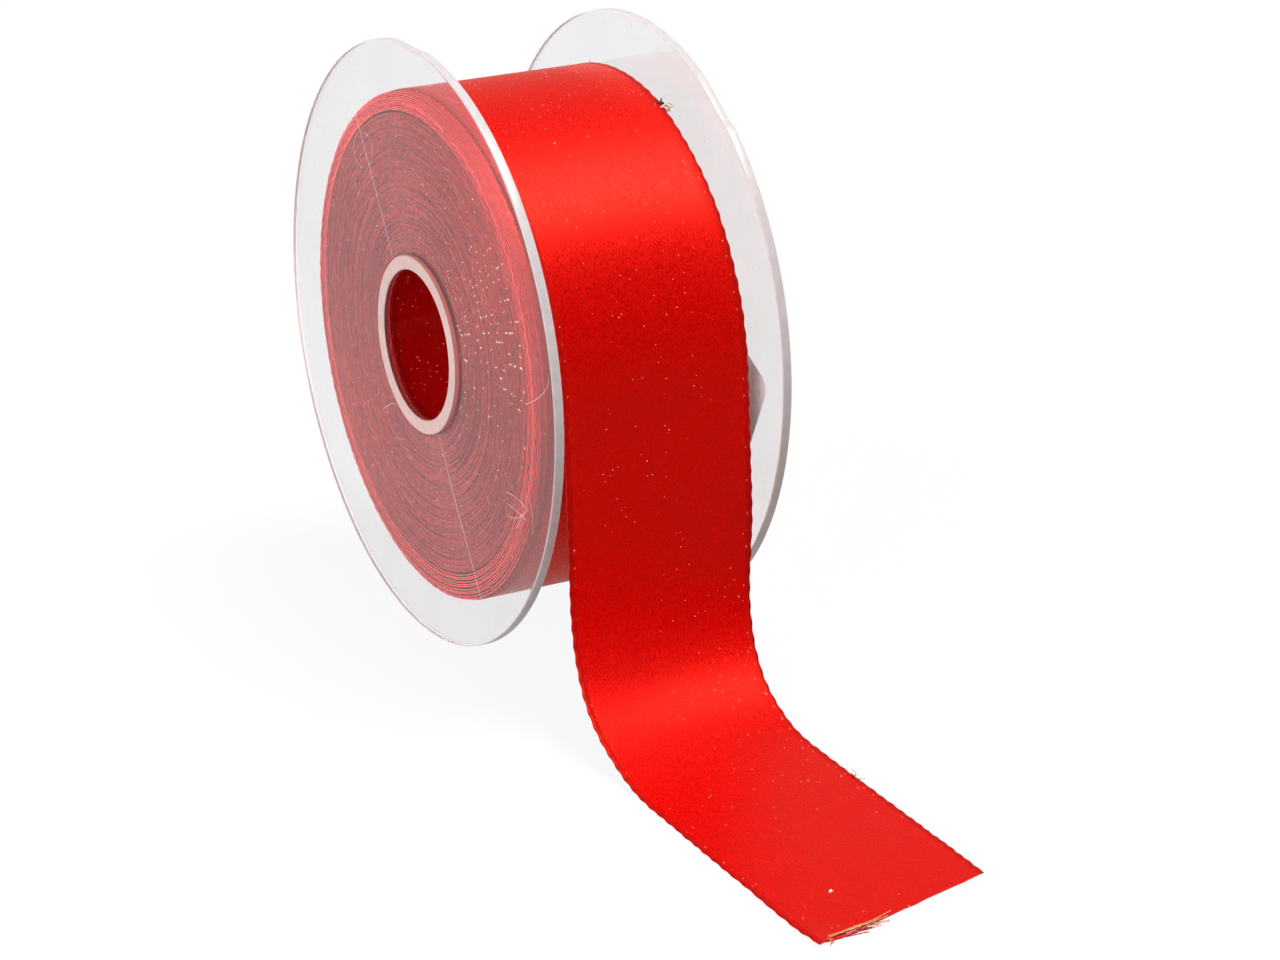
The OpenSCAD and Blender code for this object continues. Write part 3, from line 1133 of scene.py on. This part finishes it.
def makeTuft(name, strands, seed):
    rng = np.random.default_rng(seed)
    materials = [strawThread, darkThread, redThread, whiteFleck, roseThread]
    parts, kinds = [], []
    for start, spread, heading, length, curl, radius, count, kind in strands:
        for _ in range(count):
            at = np.array(start) + rng.normal(0, 1, 3) * (np.array(spread) * mm)
            points = curlyThread(at, heading, length * mm * rng.uniform(0.6, 1.2), curl, rng)
            points[:, 2] = np.maximum(points[:, 2], tableZ + radius * mm)
            parts.append(threadTube(points, radius * mm))
            kinds += [kind] * len(parts[-1][1])
    made = newMesh(name, *gather(parts), materials, 60.0, kinds)
    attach(made, "ribbon_end")
    return made


# Each strand: start, scatter, heading, length, curl, radius, how many, which thread; all but the start in mm
def fraySets():
    half = ribbonW / 2
    topX, topY, topZ = onFreeEnd(-63 * mm, half, -0.1 * mm)
    spurX, spurY, spurZ = onFreeEnd(-94 * mm, half, 0)
    cut = tailSet["cutReach"]
    nearY = tailSet["tableY"] - half
    sideX, sideY = 102.5 * mm, tailSet["tableY"] + half
    onTable = tableZ + 0.25 * mm
    topScatter = (0.02, 0.3, 0.15)
    return {
        "top_fray": ([
            ((topX, topY, topZ), topScatter, (0.7, 0.8, -0.3), 2.6, 0.30, 0.11, 12, 0),
            ((topX - 1.4 * mm, topY, topZ + 0.7 * mm), topScatter, (0.6, 1, 0.1), 1.7, 0.5, 0.13, 12, 1),
            ((topX, topY, topZ), topScatter, (0.9, 0.8, 0.5), 1.9, 0.4, 0.09, 4, 3),
            ((spurX, spurY, spurZ), topScatter, (-0.2, 0.4, 1), 1.0, 0.4, 0.06, 3, 0),
        ], 41),
        "side_tuft": ([
            ((sideX, sideY - 0.1 * mm, onTable), (0.8, 0.1, 0.03), (1, 0.5, 0.35), 1.7, 0.35, 0.06, 6, 0),
            ((sideX + 1 * mm, sideY - 0.2 * mm, onTable), (0.5, 0.1, 0.03), (1, 0.2, 0.3), 1.3,
             0.3, 0.07, 3, 1),
        ], 42),
        "cut_fray": ([
            ((cut - 1.9 * mm, nearY + 3.4 * mm, onTable + 0.25 * mm), (0.16, 0.5, 0.08), (-0.11, 1, 0),
             11.5, 0.02, 0.085, 11, 0),
            ((cut - 1.6 * mm, nearY + 7.0 * mm, onTable + 0.15 * mm), (0.14, 0.6, 0.06), (-0.09, 1, 0),
             8.5, 0.03, 0.075, 6, 4),
            ((cut - 1.2 * mm, nearY + 4.2 * mm, onTable), (0.14, 0.5, 0.05), (-0.16, 1, 0),
             6.5, 0.04, 0.11, 10, 2),
            ((cut - 0.9 * mm, nearY + 3.2 * mm, onTable), (0.15, 0.5, 0.03), (0.5, -1, 0),
             1.8, 0.12, 0.08, 5, 0),
            ((cut - 16.2 * mm, nearY + 11.7 * mm, onTable + 0.2 * mm), (0.05, 0.05, 0), (0.3, 1, 0),
             0.8, 0.2, 0.16, 2, 3),
        ], 43),
    }


frays = [makeTuft(name, strands, seed) for name, (strands, seed) in fraySets().items()]
print("frayed threads made")


# Floor and light

floorSet = {"size": 4.0, "below": 0.02 * mm, "bounce": 0.55, "seen": 0.91}


def makeFloor(part):
    material, tree, shader = newMaterial("floor")
    setSockets(shader, Base_Color=(0.05, 0.05, 0.05, 1.0), Roughness=0.9, Specular_IOR_Level=0.0,
               Emission_Color=(1.0, 1.0, 1.0, 1.0))
    # white where it is looked at, dimmer as a light on the ribbon above it
    glow = rangeNode(tree, seenDirectly(tree), 0.0, 1.0, part["bounce"], part["seen"])
    tree.links.new(glow, shader.inputs["Emission Strength"])
    size = part["size"]
    z = tableZ - part["below"]
    verts = [(-size, -size, z), (size, -size, z), (size, size, z), (-size, size, z)]
    floor = newMesh("floor", verts, [(0, 1, 2, 3)], [material])


lightSet = {
    "key": {"towards": (0.18, 0.26, 0.95), "strength": 4.3, "spread": 27.0},
    "fill": {"towards": (0.24, -0.88, 0.38), "strength": 2.6, "spread": 60.0},
}


def makeLight(name, part):
    data = bpy.data.lights.new(name, "SUN")
    data.energy = part["strength"]
    data.angle = math.radians(part["spread"])
    lamp = bpy.data.objects.new(name, data)
    lamp.location = part["towards"]
    lamp.rotation_mode = "QUATERNION"
    lamp.rotation_quaternion = (-lamp.location).to_track_quat("-Z", "Y")
    scene.collection.objects.link(lamp)


worldSet = {"brightFrom": (-0.80, 0.45, 0.40), "low": 0.12, "high": 0.50, "seen": 1.0}


# A dim studio with one brighter wall; it is plain white where it shows beyond the floor
def makeWorld(part):
    world = bpy.data.worlds.new("studio")
    world.use_nodes = True
    tree = world.node_tree
    background = tree.nodes["Background"]
    place = tree.nodes.new("ShaderNodeTexCoord")
    dot = tree.nodes.new("ShaderNodeVectorMath")
    dot.operation = "DOT_PRODUCT"
    dot.inputs[1].default_value = Vector(part["brightFrom"]).normalized()
    tree.links.new(place.outputs["Generated"], dot.inputs[0])
    wall = rangeNode(tree, dot.outputs["Value"], -0.3, 0.9, part["low"], part["high"])
    seen = tree.nodes.new("ShaderNodeMix")
    seen.inputs[3].default_value = part["seen"]
    tree.links.new(seenDirectly(tree), seen.inputs[0])
    tree.links.new(wall, seen.inputs[2])
    tree.links.new(seen.outputs[0], background.inputs["Strength"])
    background.inputs["Color"].default_value = (1.0, 1.0, 1.0, 1.0)
    scene.world = world


makeFloor(floorSet)
for name, part in lightSet.items():
    makeLight(name, part)
makeWorld(worldSet)
scene.view_settings.view_transform = "Standard"
print("floor and lights made")
